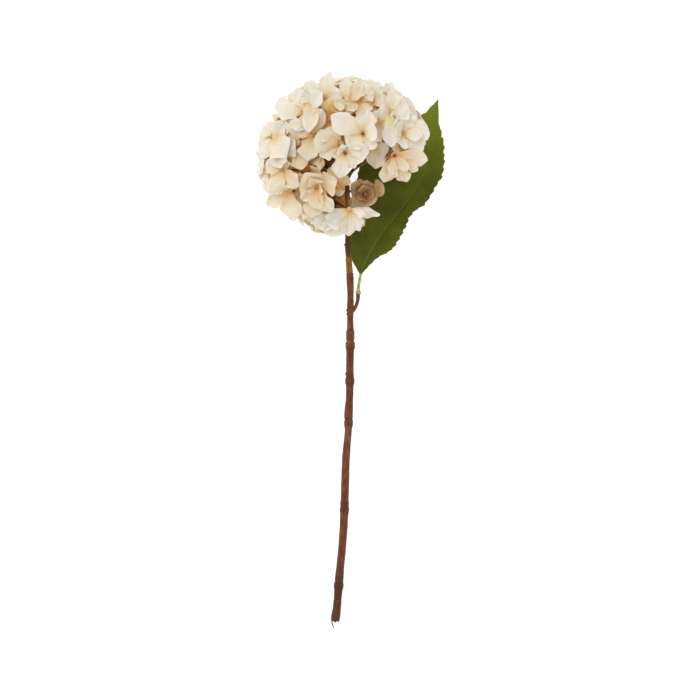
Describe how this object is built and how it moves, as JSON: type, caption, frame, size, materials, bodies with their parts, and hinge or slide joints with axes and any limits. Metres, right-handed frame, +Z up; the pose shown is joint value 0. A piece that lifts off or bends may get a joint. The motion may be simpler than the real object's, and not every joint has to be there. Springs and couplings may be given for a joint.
{
  "type": "cut hydrangea",
  "caption": "Cut hydrangea lying down: long woody stem, one toothed leaf and a rounded head of cream four-petalled florets.",
  "frame": {"origin": "middle of the object's bounding box, on the surface it lies on", "axes": "+Y from the torn end of the stem to the flower head, +Z up from the surface, +X towards the leaf"},
  "size_m": [0.169, 0.5032, 0.1256],
  "materials": {
    "stem": "reddish brown moulded bark, satin",
    "flower_stalk": "golden olive brown, satin",
    "leaf_stalk": "pale yellow green, satin",
    "leaf": "olive green printed cloth with raised veins, soft sheen",
    "petals": "cream petal cloth, warmer towards the middle, matte"
  },
  "bodies": {
    "root": {"stem": "stem", "flower_stalk": "flower_stalk", "leaf_stalk": "leaf_stalk", "leaf_blade": "leaf", "florets": "petals"}
  },
  "joints": []
}
